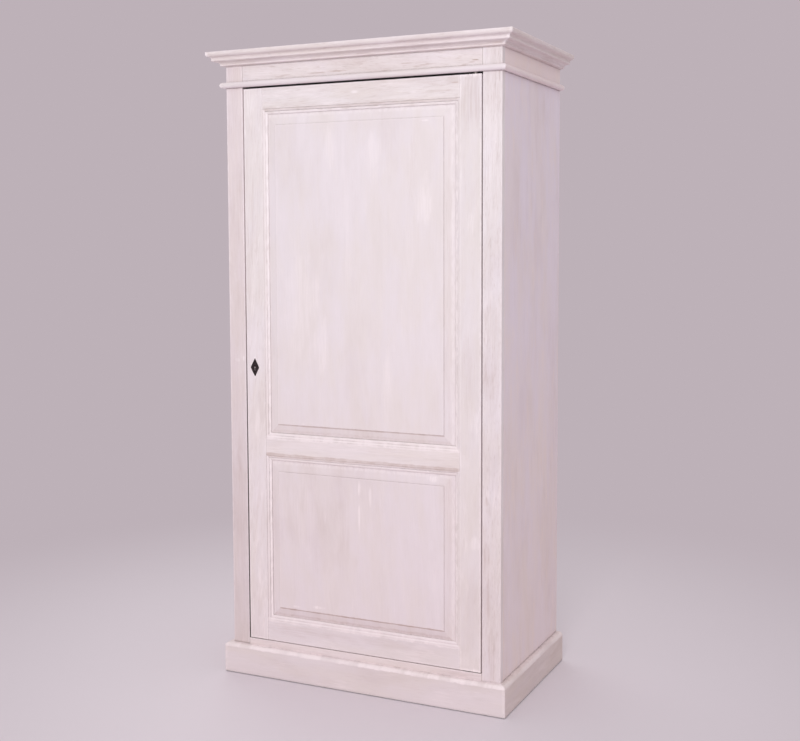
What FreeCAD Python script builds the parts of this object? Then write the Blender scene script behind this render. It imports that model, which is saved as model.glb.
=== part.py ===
# A one-door bonnetiere cupboard: a plain carcass on a plinth, a moulded crown, and a tall
# frame-and-panel door that swings on pivots and locks with a surface-mounted lock.
# Millimetres. X runs to the right, Y to the back, Z up; the origin is on the floor, under the
# middle of the whole cupboard's box. The hinge side is +X and the front faces -Y.

import FreeCAD, Part
import math
import os

V = FreeCAD.Vector

# Overall sizes
carcass_width = 954.0
carcass_depth = 550.0
overall_height = 2050.0

# Front frame, sides and back
frame_thickness = 22.0
front_stile_width = 61.0
side_thickness = 22.0
frieze_height = 69.0
bottom_rail_height = 70.0
bottom_rail_reveal = 21.0
back_thickness = 12.0
back_rebate = 10.0
back_board_count = 6
back_tongue_depth = 6.0
back_tongue_thickness = 4.0
back_bevel = 2.0
back_foot_gap = 12.0
back_rail_thickness = 22.0
back_rail_height = 60.0

# Plinth
plinth_height = 99.0
plinth_thickness = 22.0
plinth_round = 11.0
plinth_floor_gap = 2.0

# Cornice, from the nose down to the soffit
nose_height = 5.0
ovolo_height = 10.0
ovolo_width = 6.4
ovolo_bulge = 2.3
quirk_height = 5.0
quirk_width = 7.6
quirk_hollow = 1.3
band_height = 7.0
lip_height = 2.0
lip_width = 3.0
cove_height = 9.0
cove_width = 17.6
cove_hollow = 3.4
listel_height = 3.5
soffit_rise = 2.5
soffit_width = 13.4
cornice_seat = 12.0

# Neck bead under the frieze
bead_height = 18.0
bead_projection = 16.0

# Boards inside
board_thickness = 18.0
shelf_count = 4
shelf_setback = 22.0
shelf_round = 3.0
cleat_size = 20.0
cleat_setback = 14.0
block_leg = 26.0
corner_block_length = 60.0
corner_block_foot = 8.0
cornice_block_leg = 20.0
cornice_block_length = 90.0

# Door
door_side_gap = 4.0
door_bottom_gap = 3.0
door_top_gap = 6.0
door_stop_gap = 0.5
door_stile_width = 69.0
door_top_rail_width = 66.0
door_mid_rail_width = 57.0
door_bottom_rail_width = 67.0
lower_opening_height = 553.0
stop_thickness = 15.0
stop_end_gap = 1.0
stop_lap = 12.0
upper_stop_height = 45.0

# Moulded inner edge of the door frame, and the panels in its groove
sticking_width = 17.0
sticking_fillet = 1.3
sticking_ovolo_width = 8.0
sticking_ovolo_drop = 2.2
sticking_ovolo_bulge = 1.0
sticking_quirk = 1.3
sticking_bead_drop = 2.2
sticking_bead_bulge = 1.6
groove_front = 8.6
groove_width = 5.6
groove_depth = 12.0
tongue_depth = 7.0
panel_side_shift = 4.0
panel_drop = 3.0
bevel_width = 33.0
bevel_end_depth = 4.6
bevel_bulge = 0.8
field_step = 2.0

# Mortise and tenon joints
tenon_thickness = 7.0
tenon_length = 32.0
tenon_shoulder = 16.0
joint_vee = 0.5
edge_round = 1.6

# Pivots
pivot_radius = 4.0
pivot_running_gap = 0.3
pivot_reach = 10.0
pivot_bearing_gap = 0.2
pivot_collar_radius = 7.5
pivot_plate_thickness = 3.0
pivot_plate_width = 14.0
pivot_plate_outer = 16.0
pivot_plate_margin = 9.0
bore_relief = 0.5

# Wood screws
screw_radius = 1.7
screw_length = 12.0
screw_gap = 0.1

# Lock, escutcheon and keeper
key_inset = 31.0
key_height = 1030.0
key_barrel_radius = 3.6
key_bit_width = 3.4
key_bit_drop = 10.0
escutcheon_width = 31.0
escutcheon_height = 60.0
escutcheon_rise = 3.2
escutcheon_fall = 2.3
escutcheon_pin_place = 22.0
escutcheon_pin_radius = 1.2
escutcheon_pin_length = 9.0
escutcheon_pin_head = 0.9
escutcheon_pin_tip = 0.7
lock_edge_inset = 2.0
lock_width = 62.0
lock_below_key = 26.0
lock_above_key = 40.0
lock_thickness = 12.0
lock_wall = 1.5
lock_plate_thickness = 2.0
lock_plate_flange = 14.0
lock_screw_inset = 10.0
bolt_height = 16.0
bolt_thickness = 7.0
bolt_above_key = 11.0
bolt_length = 56.0
bolt_lead = 1.5
bolt_gap = 0.4
bolt_throw = 12.0
bolt_notch_radius = 5.0
stump_radius = 2.0
stump_back = 8.0
spring_thickness = 0.8
spring_inset = 6.0
keeper_gap = 1.0
keeper_width = 22.0
keeper_flange = 12.0
keeper_wall = 1.5
keeper_bolt_gap = 0.5

tolerance = 1e-4

# Places that follow from the sizes
half_width = carcass_width / 2
cornice_height = (nose_height + ovolo_height + quirk_height + band_height + lip_height
                  + cove_height + listel_height + soffit_rise)
cornice_projection = ovolo_width + quirk_width + lip_width + cove_width + soffit_width
front_face = (cornice_projection - carcass_depth) / 2
back_face = front_face + carcass_depth
frame_back = front_face + frame_thickness
cornice_bottom = overall_height - cornice_height
opening_top = cornice_bottom - frieze_height
opening_bottom = plinth_height + bottom_rail_reveal
opening_half = half_width - front_stile_width
side_inside = half_width - side_thickness
back_inside = back_face - back_thickness
back_rail_front = back_inside - back_rail_thickness
board_under_floor = opening_bottom - board_thickness
shelf_front = frame_back + shelf_setback

door_half = opening_half - door_side_gap
door_bottom = opening_bottom + door_bottom_gap
door_top = opening_top - door_top_gap
door_thickness = frame_thickness - door_stop_gap
door_back = front_face + door_thickness
door_middle = front_face + door_thickness / 2
opening_side = door_half - door_stile_width
lower_opening = (door_bottom + door_bottom_rail_width,
                 door_bottom + door_bottom_rail_width + lower_opening_height)
upper_opening = (lower_opening[1] + door_mid_rail_width, door_top - door_top_rail_width)

# As far in from the edge as the boards are thick, which lets the door open to 130 degrees
pivot_inset = frame_thickness
pivot_x = door_half - pivot_inset
pivot_sweep = math.hypot(pivot_inset, door_thickness / 2)
stop_end = pivot_x - pivot_sweep - stop_end_gap
pivot_bore = pivot_radius + pivot_running_gap

key_x = key_inset - door_half
lock_left = lock_edge_inset - door_half
lock_right = lock_left + lock_width
lock_low = key_height - lock_below_key
lock_high = key_height + lock_above_key
lock_plate_back = door_back + lock_plate_thickness
lock_case_back = lock_plate_back + lock_thickness
bolt_low = key_height + bolt_above_key
bolt_high = bolt_low + bolt_height
bolt_front = lock_plate_back + bolt_gap
bolt_back = bolt_front + bolt_thickness
bolt_tip = lock_left - bolt_lead
bolt_tail = bolt_tip + bolt_length


# Shared shapes

def block(x0, x1, y0, y1, z0, z1):
    return Part.makeBox(x1 - x0, y1 - y0, z1 - z0, V(x0, y0, z0))


def mirrored(shape):
    return shape.mirror(V(0, 0, 0), V(1, 0, 0))


def outline(points, place):
    # A closed face. Each point is (u, v, bulge), anticlockwise, and the edge that leads to it is
    # an arc that rises by bulge outside its chord; a negative bulge is a hollow.
    edges = []
    for before, here in zip(points[-1:] + points[:-1], points):
        start = place(before[0], before[1])
        end = place(here[0], here[1])
        if here[2] == 0:
            edges.append(Part.LineSegment(start, end).toShape())
            continue
        du = here[0] - before[0]
        dv = here[1] - before[1]
        rise = here[2] / math.hypot(du, dv)
        middle = place(before[0] + du / 2 + rise * dv, before[1] + dv / 2 - rise * du)
        edges.append(Part.Arc(start, middle, end).toShape())
    return Part.Face(Part.Wire(edges))


def quarter_bulge(radius):
    return radius * (1 - math.sqrt(0.5))


def edges_on(shape, x=None, y=None, z=None):
    # The edges that lie wholly on the given planes.
    wanted = [(axis, value) for axis, value in enumerate((x, y, z)) if value is not None]
    found = []
    for edge in shape.Edges:
        if all(abs(vertex.Point[axis] - value) < tolerance
               for vertex in edge.Vertexes for axis, value in wanted):
            found.append(edge)
    return found


def upright_round(x, y, to_x, to_y, radius, z0, z1):
    # What a round-over takes off an upright edge at (x, y); to_x and to_y point into the wood.
    centre_x = x + to_x * radius
    centre_y = y + to_y * radius
    xs = sorted((x - to_x, centre_x))
    ys = sorted((y - to_y, centre_y))
    corner = block(xs[0], xs[1], ys[0], ys[1], z0, z1)
    return corner.cut(Part.makeCylinder(radius, z1 - z0, V(centre_x, centre_y, z0)))


def plan_prism(corners):
    points = [V(x, y, 0) for x, y in corners]
    return Part.Face(Part.makePolygon(points + points[:1])).extrude(V(0, 0, overall_height))


def crown_run_front(points, inner, outer):
    # A moulding across the front, mitred at both corners. Its profile is (projection, height).
    reach = half_width + outer
    face = outline(points, lambda out, up: V(-reach, front_face - out, up))
    wedge = plan_prism([(-reach, front_face - outer), (reach, front_face - outer),
                        (half_width - inner, front_face + inner),
                        (inner - half_width, front_face + inner)])
    return face.extrude(V(2 * reach, 0, 0)).common(wedge)


def crown_run_side(points, inner, outer):
    # The same moulding down the right side, mitred in front and square at the back.
    face = outline(points, lambda out, up: V(half_width + out, front_face - outer, up))
    wedge = plan_prism([(half_width - inner, front_face + inner),
                        (half_width + outer, front_face - outer),
                        (half_width + outer, back_face), (half_width - inner, back_face)])
    return face.extrude(V(0, carcass_depth + outer, 0)).common(wedge)


def wood_screw(head, direction, sunk, gap=0.0):
    # A screw with its head's face at head, countersunk at 45 degrees through a plate of thickness
    # sunk; gap grows it into its own hole.
    radius = screw_radius + gap
    cone = Part.makeCone(radius + sunk, radius, sunk, head, direction)
    shank = Part.makeCylinder(radius, screw_length + gap, head, direction)
    return cone.fuse(shank).removeSplitter()


def rail_tenon(side, shoulder_x, middle_y, low, high):
    ends = sorted((side * shoulder_x, side * (shoulder_x + tenon_length)))
    return block(ends[0], ends[1], middle_y - tenon_thickness / 2, middle_y + tenon_thickness / 2,
                 low, high)


# Carcass: front frame

frame_middle = front_face + frame_thickness / 2
frieze_tenon = (opening_top + tenon_shoulder, cornice_bottom - tenon_shoulder)
bottom_rail_low = opening_bottom - bottom_rail_height
bottom_tenon = (bottom_rail_low + tenon_shoulder, opening_bottom - tenon_shoulder)


def right_front_stile():
    stile = block(opening_half, half_width, front_face, frame_back, 0, cornice_bottom)
    for low, high in (frieze_tenon, bottom_tenon):
        stile = stile.cut(rail_tenon(1, opening_half, frame_middle, low, high))
    stile = stile.cut(upright_round(opening_half, front_face, 1, 1, edge_round,
                                    opening_bottom, opening_top))
    stile = stile.cut(upright_round(half_width, front_face, -1, 1, edge_round,
                                    plinth_height, cornice_bottom))
    return stile.makeChamfer(joint_vee, edges_on(stile, x=half_width, y=frame_back))


def frame_rail(low, high, tenon_span):
    rail = block(-opening_half, opening_half, front_face, frame_back, low, high)
    ends = [edge for x in (-opening_half, opening_half) for edge in edges_on(rail, x=x, y=front_face)]
    rail = rail.makeChamfer(joint_vee, ends)
    for side in (-1, 1):
        rail = rail.fuse(rail_tenon(side, opening_half, frame_middle, tenon_span[0], tenon_span[1]))
    return rail.removeSplitter()


def frieze_rail():
    rail = frame_rail(opening_top, cornice_bottom, frieze_tenon)
    return rail.cut(pivot_plate(opening_top, 1))


def bottom_rail():
    rail = frame_rail(bottom_rail_low, opening_bottom, bottom_tenon)
    rail = rail.makeFillet(edge_round, edges_on(rail, y=front_face, z=opening_bottom))
    return rail.cut(pivot_plate(opening_bottom, -1))


# Carcass: sides, back and boards

def right_side_panel():
    side = block(side_inside, half_width, frame_back, back_face, 0, cornice_bottom)
    side = side.cut(block(side_inside, side_inside + back_rebate, back_inside, back_face,
                          0, cornice_bottom))
    side = side.makeChamfer(joint_vee, edges_on(side, x=half_width, y=frame_back))
    return side.makeFillet(edge_round, edges_on(side, x=half_width, y=back_face))


def back_board(index):
    # Tongued and grooved boards, bevelled along the joints, in the rebates of the sides.
    width = 2 * (side_inside + back_rebate) / back_board_count
    left = index * width - side_inside - back_rebate
    right = left + width
    middle = back_inside + back_thickness / 2
    half_tongue = back_tongue_thickness / 2
    board = block(left, right, back_inside, back_face, back_foot_gap, cornice_bottom)
    if index > 0:
        board = board.makeChamfer(back_bevel, edges_on(board, x=left, y=back_face))
        board = board.cut(block(left, left + back_tongue_depth, middle - half_tongue,
                                middle + half_tongue, back_foot_gap, cornice_bottom))
    if index < back_board_count - 1:
        board = board.makeChamfer(back_bevel, edges_on(board, x=right, y=back_face))
        board = board.fuse(block(right, right + back_tongue_depth, middle - half_tongue,
                                 middle + half_tongue, back_foot_gap, cornice_bottom))
    return board.removeSplitter()


def back_rail(low):
    return block(-side_inside, side_inside, back_rail_front, back_inside, low, low + back_rail_height)


def inside_board(front, top):
    return block(-side_inside, side_inside, front, back_inside, top - board_thickness, top)


def bottom_board():
    return inside_board(frame_back, opening_bottom)


def top_board():
    edge = half_width - cornice_seat
    return block(-edge, edge, front_face + cornice_seat, back_face,
                 cornice_bottom, cornice_bottom + board_thickness)


def shelf_top(index):
    pitch = (opening_top - opening_bottom) / (shelf_count + 1)
    return opening_bottom + (index + 1) * pitch


def shelf(index):
    board = inside_board(shelf_front, shelf_top(index))
    return board.makeFillet(shelf_round, edges_on(board, y=shelf_front))


def cleat(front, back, top):
    # A cleat on the right side, with its lower front corner cut away.
    points = [(front, top - cleat_size / 2), (front + cleat_size / 2, top - cleat_size),
              (back, top - cleat_size), (back, top), (front, top)]
    corners = [V(side_inside - cleat_size, along, up) for along, up in points]
    return Part.Face(Part.makePolygon(corners + corners[:1])).extrude(V(cleat_size, 0, 0))


def shelf_cleats():
    pieces = []
    for index in range(shelf_count):
        right = cleat(shelf_front + cleat_setback, back_inside, shelf_top(index) - board_thickness)
        pieces += [right, mirrored(right)]
    return Part.makeCompound(pieces)


def bottom_runners():
    right = cleat(frame_back, back_rail_front, board_under_floor)
    return Part.makeCompound([right, mirrored(right)])


def corner_blocks():
    # Three-cornered glue blocks upright in the four corners of the base.
    pieces = []
    for corner_y, inward in ((frame_back, 1), (back_rail_front, -1)):
        points = [V(side_inside, corner_y, corner_block_foot),
                  V(side_inside - block_leg, corner_y, corner_block_foot),
                  V(side_inside, corner_y + inward * block_leg, corner_block_foot)]
        face = Part.Face(Part.makePolygon(points + points[:1]))
        right = face.extrude(V(0, 0, corner_block_length))
        pieces += [right, mirrored(right)]
    return Part.makeCompound(pieces)


def cornice_blocks():
    # Glue blocks in the angle between the top board and the back of the cornice.
    floor = cornice_bottom + board_thickness
    inner_x = half_width - cornice_seat
    inner_y = front_face + cornice_seat
    pieces = []
    for share in (-1, 0, 1):
        start = share * carcass_width / 3 - cornice_block_length / 2
        points = [V(start, inner_y, floor), V(start, inner_y + cornice_block_leg, floor),
                  V(start, inner_y, floor + cornice_block_leg)]
        face = Part.Face(Part.makePolygon(points + points[:1]))
        pieces.append(face.extrude(V(cornice_block_length, 0, 0)))
    for share in (-1, 1):
        start = share * carcass_depth / 4 - cornice_block_length / 2
        points = [V(inner_x, start, floor), V(inner_x - cornice_block_leg, start, floor),
                  V(inner_x, start, floor + cornice_block_leg)]
        face = Part.Face(Part.makePolygon(points + points[:1]))
        right = face.extrude(V(0, cornice_block_length, 0))
        pieces += [right, mirrored(right)]
    return Part.makeCompound(pieces)


# Crown and plinth

def cornice_profile():
    soffit = cornice_bottom + soffit_rise
    listel = soffit + listel_height
    cove = listel + cove_height
    lip = cove + lip_height
    band = lip + band_height
    quirk = band + quirk_height
    band_out = soffit_width + cove_width + lip_width
    return [(-cornice_seat, cornice_bottom, 0), (0, cornice_bottom, 0),
            (soffit_width, soffit, 0), (soffit_width, listel, 0),
            (soffit_width + cove_width, cove, -cove_hollow),
            (band_out, lip, 0), (band_out, band, 0),
            (band_out + quirk_width, quirk, -quirk_hollow),
            (cornice_projection, quirk + ovolo_height, ovolo_bulge),
            (cornice_projection, overall_height, 0), (-cornice_seat, overall_height, 0)]


def bead_profile():
    flat = bead_projection - bead_height / 2
    return [(0, opening_top, 0), (flat, opening_top, 0),
            (flat, opening_top + bead_height, bead_height / 2), (0, opening_top + bead_height, 0)]


def plinth_profile():
    # The plinth hangs just clear of the floor; the front stiles and the sides carry the weight.
    return [(0, plinth_floor_gap, 0), (plinth_thickness, plinth_floor_gap, 0),
            (plinth_thickness, plinth_height - plinth_round, 0),
            (plinth_thickness - plinth_round, plinth_height, quarter_bulge(plinth_round)),
            (0, plinth_height, 0)]


# Door frame. Distances "in" are measured from a sight line into the wood, and "deep" from the face.

def sticking_profile():
    ovolo_in = sticking_width - sticking_ovolo_width
    ovolo_deep = sticking_fillet + sticking_ovolo_drop
    bead_deep = ovolo_deep + sticking_quirk
    groove_back = groove_front + groove_width
    return [(sticking_width, door_thickness, 0), (0, door_thickness, 0),
            (0, groove_back, 0), (groove_depth, groove_back, 0), (groove_depth, groove_front, 0),
            (0, groove_front, 0), (0, bead_deep + sticking_bead_drop, 0),
            (ovolo_in, bead_deep, sticking_bead_bulge), (ovolo_in, ovolo_deep, 0),
            (sticking_width, sticking_fillet, sticking_ovolo_bulge)]


def sticking(low, high, side):
    # One side of the moulded edge round an opening, mitred at its corners. low and high are the
    # opening's outer lines; side is "left", "right", "top" or "bottom".
    sight_x = opening_side - sticking_width
    places = {
        "right": lambda into, deep: V(sight_x + into, front_face + deep, low),
        "left": lambda into, deep: V(-sight_x - into, front_face + deep, low),
        "top": lambda into, deep: V(-opening_side, front_face + deep, high - sticking_width + into),
        "bottom": lambda into, deep: V(-opening_side, front_face + deep, low + sticking_width - into)}
    upright = side in ("left", "right")
    length = V(0, 0, high - low) if upright else V(2 * opening_side, 0, 0)
    bar = outline(sticking_profile(), places[side]).extrude(length)
    outer = {"left": ((-opening_side, low), (-opening_side, high)),
             "right": ((opening_side, high), (opening_side, low)),
             "top": ((-opening_side, high), (opening_side, high)),
             "bottom": ((opening_side, low), (-opening_side, low))}[side]
    inner_low = low + sticking_width
    inner_high = high - sticking_width
    corners = list(outer)
    for x, z in reversed(outer):
        corners.append((math.copysign(sight_x, x), inner_low if z == low else inner_high))
    points = [V(x, front_face, z) for x, z in corners]
    wedge = Part.Face(Part.makePolygon(points + points[:1])).extrude(V(0, door_thickness, 0))
    return bar.common(wedge)


door_tenons = [
    (door_bottom + tenon_shoulder, lower_opening[0] - tenon_shoulder / 2),
    (lower_opening[1] + tenon_shoulder / 2, upper_opening[0] - tenon_shoulder / 2),
    (upper_opening[1] + tenon_shoulder / 2, door_top - tenon_shoulder)]


def door_stile(side):
    name = "right" if side > 0 else "left"
    xs = sorted((side * opening_side, side * door_half))
    stile = block(xs[0], xs[1], front_face, door_back, door_bottom, door_top)
    for low, high in door_tenons:
        stile = stile.cut(rail_tenon(side, opening_side, door_middle, low, high))
    stile = stile.cut(upright_round(side * door_half, front_face, -side, 1, edge_round,
                                    door_bottom, door_top))
    for low, high in (lower_opening, upper_opening):
        stile = stile.fuse(sticking(low, high, name))
    return stile.removeSplitter()


def door_hinge_stile():
    stile = door_stile(1)
    for end, up in ((door_bottom, 1), (door_top, -1)):
        bore = Part.makeCylinder(pivot_bore + bore_relief, pivot_reach + bore_relief,
                                 V(pivot_x, door_middle, end), V(0, 0, up))
        stile = stile.cut([pivot_plate(end, up), bore])
    return stile


def door_lock_stile():
    stile = door_stile(-1).cut(keyhole(front_face, door_back))
    return stile.cut(lock_screw_shapes(screw_gap) + escutcheon_pin_shapes(screw_gap))


def door_rail(low, high, tenon_span, edges):
    # edges lists the openings that the rail borders, with the side of the opening it makes.
    rail = block(-opening_side, opening_side, front_face, door_back, low, high)
    ends = [edge for x in (-opening_side, opening_side) for edge in edges_on(rail, x=x, y=front_face)]
    rail = rail.makeChamfer(joint_vee, ends)
    for opening, side in edges:
        rail = rail.fuse(sticking(opening[0], opening[1], side))
    for side in (-1, 1):
        rail = rail.fuse(rail_tenon(side, opening_side, door_middle, tenon_span[0], tenon_span[1]))
    return rail.removeSplitter()


def door_bottom_rail():
    return door_rail(door_bottom, lower_opening[0], door_tenons[0], [(lower_opening, "bottom")])


def door_mid_rail():
    return door_rail(lower_opening[1], upper_opening[0], door_tenons[1],
                     [(lower_opening, "top"), (upper_opening, "bottom")])


def door_top_rail():
    return door_rail(upper_opening[1], door_top, door_tenons[2], [(upper_opening, "top")])


def raised_profile(rim, field):
    # Across a panel, from one end of its rim to the other. The bevel is a shallow arc, steepest at
    # the rim, and the field stands up from it by a small step.
    field_depth = bevel_end_depth - field_step
    return [(rim[0], groove_front, 0), (field[0], bevel_end_depth, bevel_bulge),
            (field[0], field_depth, 0), (field[1], field_depth, 0),
            (field[1], bevel_end_depth, 0), (rim[1], groove_front, bevel_bulge)]


def door_panel(opening):
    # A raised and fielded panel, loose in the groove. It has settled down and to one side, and its
    # flat rim is wide enough to keep the bevel clear of the groove's lip there.
    sight_x = opening_side - sticking_width
    low = opening[0] + sticking_width - panel_drop
    high = opening[1] - sticking_width - panel_drop
    left = -sight_x - panel_side_shift
    right = sight_x - panel_side_shift
    tongue_front = front_face + groove_front
    board = block(left - tongue_depth, right + tongue_depth, tongue_front,
                  tongue_front + groove_width, low - tongue_depth, high + tongue_depth)
    across = outline(raised_profile((left + panel_side_shift, right - panel_side_shift),
                                    (left + bevel_width, right - bevel_width)),
                     lambda along, deep: V(along, front_face + deep, low))
    upright = outline(raised_profile((low + panel_drop, high - panel_drop),
                                     (low + bevel_width, high - bevel_width)),
                      lambda along, deep: V(left, front_face + deep, along))
    raised = across.extrude(V(0, 0, high - low)).common(upright.extrude(V(right - left, 0, 0)))
    return board.fuse(raised).removeSplitter()


# Door stops

def upper_door_stop():
    return block(-opening_half, stop_end, frame_back, frame_back + stop_thickness,
                 opening_top - stop_lap, opening_top + upper_stop_height)


def lower_door_stop():
    stop = block(-opening_half, stop_end, frame_back, frame_back + stop_thickness,
                 opening_bottom, opening_bottom + stop_lap + door_bottom_gap)
    return stop.makeFillet(shelf_round, edges_on(stop, y=frame_back + stop_thickness,
                                                 z=opening_bottom + stop_lap + door_bottom_gap))


# Pivots: on the carcass a plate with a pin, on the door a plate with the matching hole

def pivot_plate(level, up):
    # The bare plate, from its face at level into the wood that it is let into.
    zs = sorted((level, level + up * pivot_plate_thickness))
    return block(opening_side + pivot_plate_margin, pivot_x + pivot_plate_outer,
                 door_middle - pivot_plate_width / 2, door_middle + pivot_plate_width / 2,
                 zs[0], zs[1])


def lower_pivot_plate():
    reach = pivot_plate_thickness + door_bottom_gap + pivot_reach
    foot = V(pivot_x, door_middle, opening_bottom - pivot_plate_thickness)
    pin = Part.makeCylinder(pivot_radius, reach, foot)
    pin = pin.makeChamfer(pivot_radius / 4, edges_on(pin, z=foot.z + reach))
    return pivot_plate(opening_bottom, -1).fuse(pin).removeSplitter()


def upper_pivot_plate():
    # The pin hangs down, with a collar that keeps the door from lifting off.
    reach = pivot_plate_thickness + door_top_gap + pivot_reach
    head = V(pivot_x, door_middle, opening_top + pivot_plate_thickness)
    pin = Part.makeCylinder(pivot_radius, reach, head, V(0, 0, -1))
    pin = pin.makeChamfer(pivot_radius / 4, edges_on(pin, z=head.z - reach))
    collar = Part.makeCylinder(pivot_collar_radius, door_top_gap - pivot_bearing_gap,
                               V(pivot_x, door_middle, opening_top), V(0, 0, -1))
    return pivot_plate(opening_top, 1).fuse([pin, collar]).removeSplitter()


def pivot_washer():
    foot = V(pivot_x, door_middle, opening_bottom)
    height = door_bottom_gap - pivot_bearing_gap
    ring = Part.makeCylinder(pivot_collar_radius, height, foot)
    return ring.cut(Part.makeCylinder(pivot_radius + screw_gap, height, foot))


def pivot_socket(level, up):
    hole = Part.makeCylinder(pivot_bore, pivot_plate_thickness, V(pivot_x, door_middle, level),
                             V(0, 0, up))
    return pivot_plate(level, up).cut(hole)


# Lock

def keyhole(y0, y1):
    barrel = Part.makeCylinder(key_barrel_radius, y1 - y0, V(key_x, y0, key_height), V(0, 1, 0))
    bit = block(key_x - key_bit_width / 2, key_x + key_bit_width / 2, y0, y1,
                key_height - key_bit_drop, key_height)
    return barrel.fuse(bit).removeSplitter()


def escutcheon():
    # A lozenge with a slightly domed face.
    half_wide = escutcheon_width / 2
    half_tall = escutcheon_height / 2
    points = [V(key_x + half_wide, front_face, key_height), V(key_x, front_face, key_height + half_tall),
              V(key_x - half_wide, front_face, key_height), V(key_x, front_face, key_height - half_tall)]
    lozenge = Part.Face(Part.makePolygon(points + points[:1])).extrude(V(0, -2 * escutcheon_rise, 0))
    dome_radius = (half_tall ** 2 + escutcheon_fall ** 2) / (2 * escutcheon_fall)
    dome = Part.makeSphere(dome_radius, V(key_x, front_face - escutcheon_rise + dome_radius, key_height))
    plate = lozenge.common(dome)
    return plate.cut([keyhole(front_face - 2 * escutcheon_rise, front_face)]
                     + escutcheon_pin_shapes(screw_gap))


def escutcheon_pin_shapes(gap=0.0):
    # Round pins at the lozenge's upper and lower points; only the shank has a hole.
    pins = []
    for up in (-1, 1):
        place = V(key_x, front_face + escutcheon_pin_length, key_height + up * escutcheon_pin_place)
        length = escutcheon_pin_length + escutcheon_rise
        pins.append(Part.makeCylinder(escutcheon_pin_radius + gap, length, place, V(0, -1, 0)))
    return pins


def escutcheon_pins():
    pins = []
    for shank in escutcheon_pin_shapes():
        front = shank.BoundBox.YMin
        centre = V(key_x, front, shank.BoundBox.Center.z)
        head = Part.makeCone(escutcheon_pin_radius, escutcheon_pin_tip, escutcheon_pin_head, centre,
                             V(0, -1, 0))
        pins.append(shank.fuse(head).removeSplitter())
    return Part.makeCompound(pins)


def lock_screw_shapes(gap=0.0):
    screws = []
    for x in (lock_left + lock_screw_inset, lock_right - lock_screw_inset):
        for z in (lock_low - lock_plate_flange / 2, lock_high + lock_plate_flange / 2):
            screws.append(wood_screw(V(x, lock_plate_back, z), V(0, -1, 0), lock_plate_thickness, gap))
    return screws


def lock_plate():
    # The plate on the back of the door, with the stump that guides the bolt's tail.
    plate = block(lock_left, lock_right, door_back, lock_plate_back,
                  lock_low - lock_plate_flange, lock_high + lock_plate_flange)
    plate = plate.cut([keyhole(door_back, lock_plate_back)] + lock_screw_shapes(screw_gap))
    stump = Part.makeCylinder(stump_radius, lock_thickness - lock_wall,
                              V(stump_x(), lock_plate_back, (bolt_low + bolt_high) / 2), V(0, 1, 0))
    return plate.fuse(stump).removeSplitter()


def stump_x():
    return bolt_tail - stump_back


def lock_case():
    case = block(lock_left, lock_right, lock_plate_back, lock_case_back, lock_low, lock_high)
    edges = edges_on(case, y=lock_case_back)
    case = case.makeFillet(lock_wall, edges)
    case = case.cut(block(lock_left + lock_wall, lock_right - lock_wall, lock_plate_back,
                          lock_case_back - lock_wall, lock_low + lock_wall, lock_high - lock_wall))
    return case.cut(block(lock_left, lock_left + lock_wall, bolt_front - bolt_gap, bolt_back + bolt_gap,
                          bolt_low - bolt_gap, bolt_high + bolt_gap))


def lock_bolt():
    # A bar with a key notch in its lower edge and a slot for the stump, which stops it at both ends.
    bar = block(bolt_tip, bolt_tail, bolt_front, bolt_back, bolt_low, bolt_high)
    notch = Part.makeCylinder(bolt_notch_radius, bolt_thickness, V(key_x, bolt_front, bolt_low), V(0, 1, 0))
    slot_radius = stump_radius + bolt_gap
    middle = (bolt_low + bolt_high) / 2
    start = V(stump_x(), bolt_front, middle)
    slot = block(stump_x(), stump_x() + bolt_throw, bolt_front, bolt_back,
                 middle - slot_radius, middle + slot_radius)
    for offset in (0, bolt_throw):
        slot = slot.fuse(Part.makeCylinder(slot_radius, bolt_thickness, start + V(offset, 0, 0), V(0, 1, 0)))
    return bar.cut(notch).cut(slot.removeSplitter())


def lock_spring():
    # A bowed leaf between the top of the case and the bolt.
    top = lock_high - lock_wall
    left = lock_left + lock_wall + spring_inset
    right = lock_right - lock_wall - spring_inset
    drop = top - bolt_high - bolt_gap - spring_thickness
    band = [(left, top - spring_thickness, 0), (right, top - spring_thickness, drop),
            (right, top, 0), (left, top, -drop)]
    face = outline(band, lambda x, z: V(x, bolt_front, z))
    return face.extrude(V(0, bolt_thickness, 0))


def lock_keeper():
    # A staple on the back of the left stile that the bolt slides into.
    right = -opening_half - keeper_gap
    left = right - keeper_width
    strap_back = bolt_back + keeper_bolt_gap + keeper_wall
    strap = block(left, right, frame_back, strap_back, bolt_low - keeper_bolt_gap - keeper_wall,
                  bolt_high + keeper_bolt_gap + keeper_wall)
    tunnel = block(left, right, frame_back, strap_back - keeper_wall, bolt_low - keeper_bolt_gap,
                   bolt_high + keeper_bolt_gap)
    keeper = strap.cut(tunnel)
    for low in (bolt_low - keeper_bolt_gap - keeper_wall - keeper_flange,
                bolt_high + keeper_bolt_gap + keeper_wall):
        keeper = keeper.fuse(block(left, right, frame_back, frame_back + keeper_wall,
                                   low, low + keeper_flange))
    return keeper.cut(keeper_screw_shapes(screw_gap)).removeSplitter()


def keeper_screw_shapes(gap=0.0):
    reach = keeper_bolt_gap + keeper_wall + keeper_flange / 2
    x = -opening_half - keeper_gap - keeper_width / 2
    return [wood_screw(V(x, frame_back + keeper_wall, z), V(0, -1, 0), keeper_wall, gap)
            for z in (bolt_low - reach, bolt_high + reach)]


def left_front_stile():
    return mirrored(right_front_stile()).cut(keeper_screw_shapes(screw_gap))


# All the sub-parts, each in its own file

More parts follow.
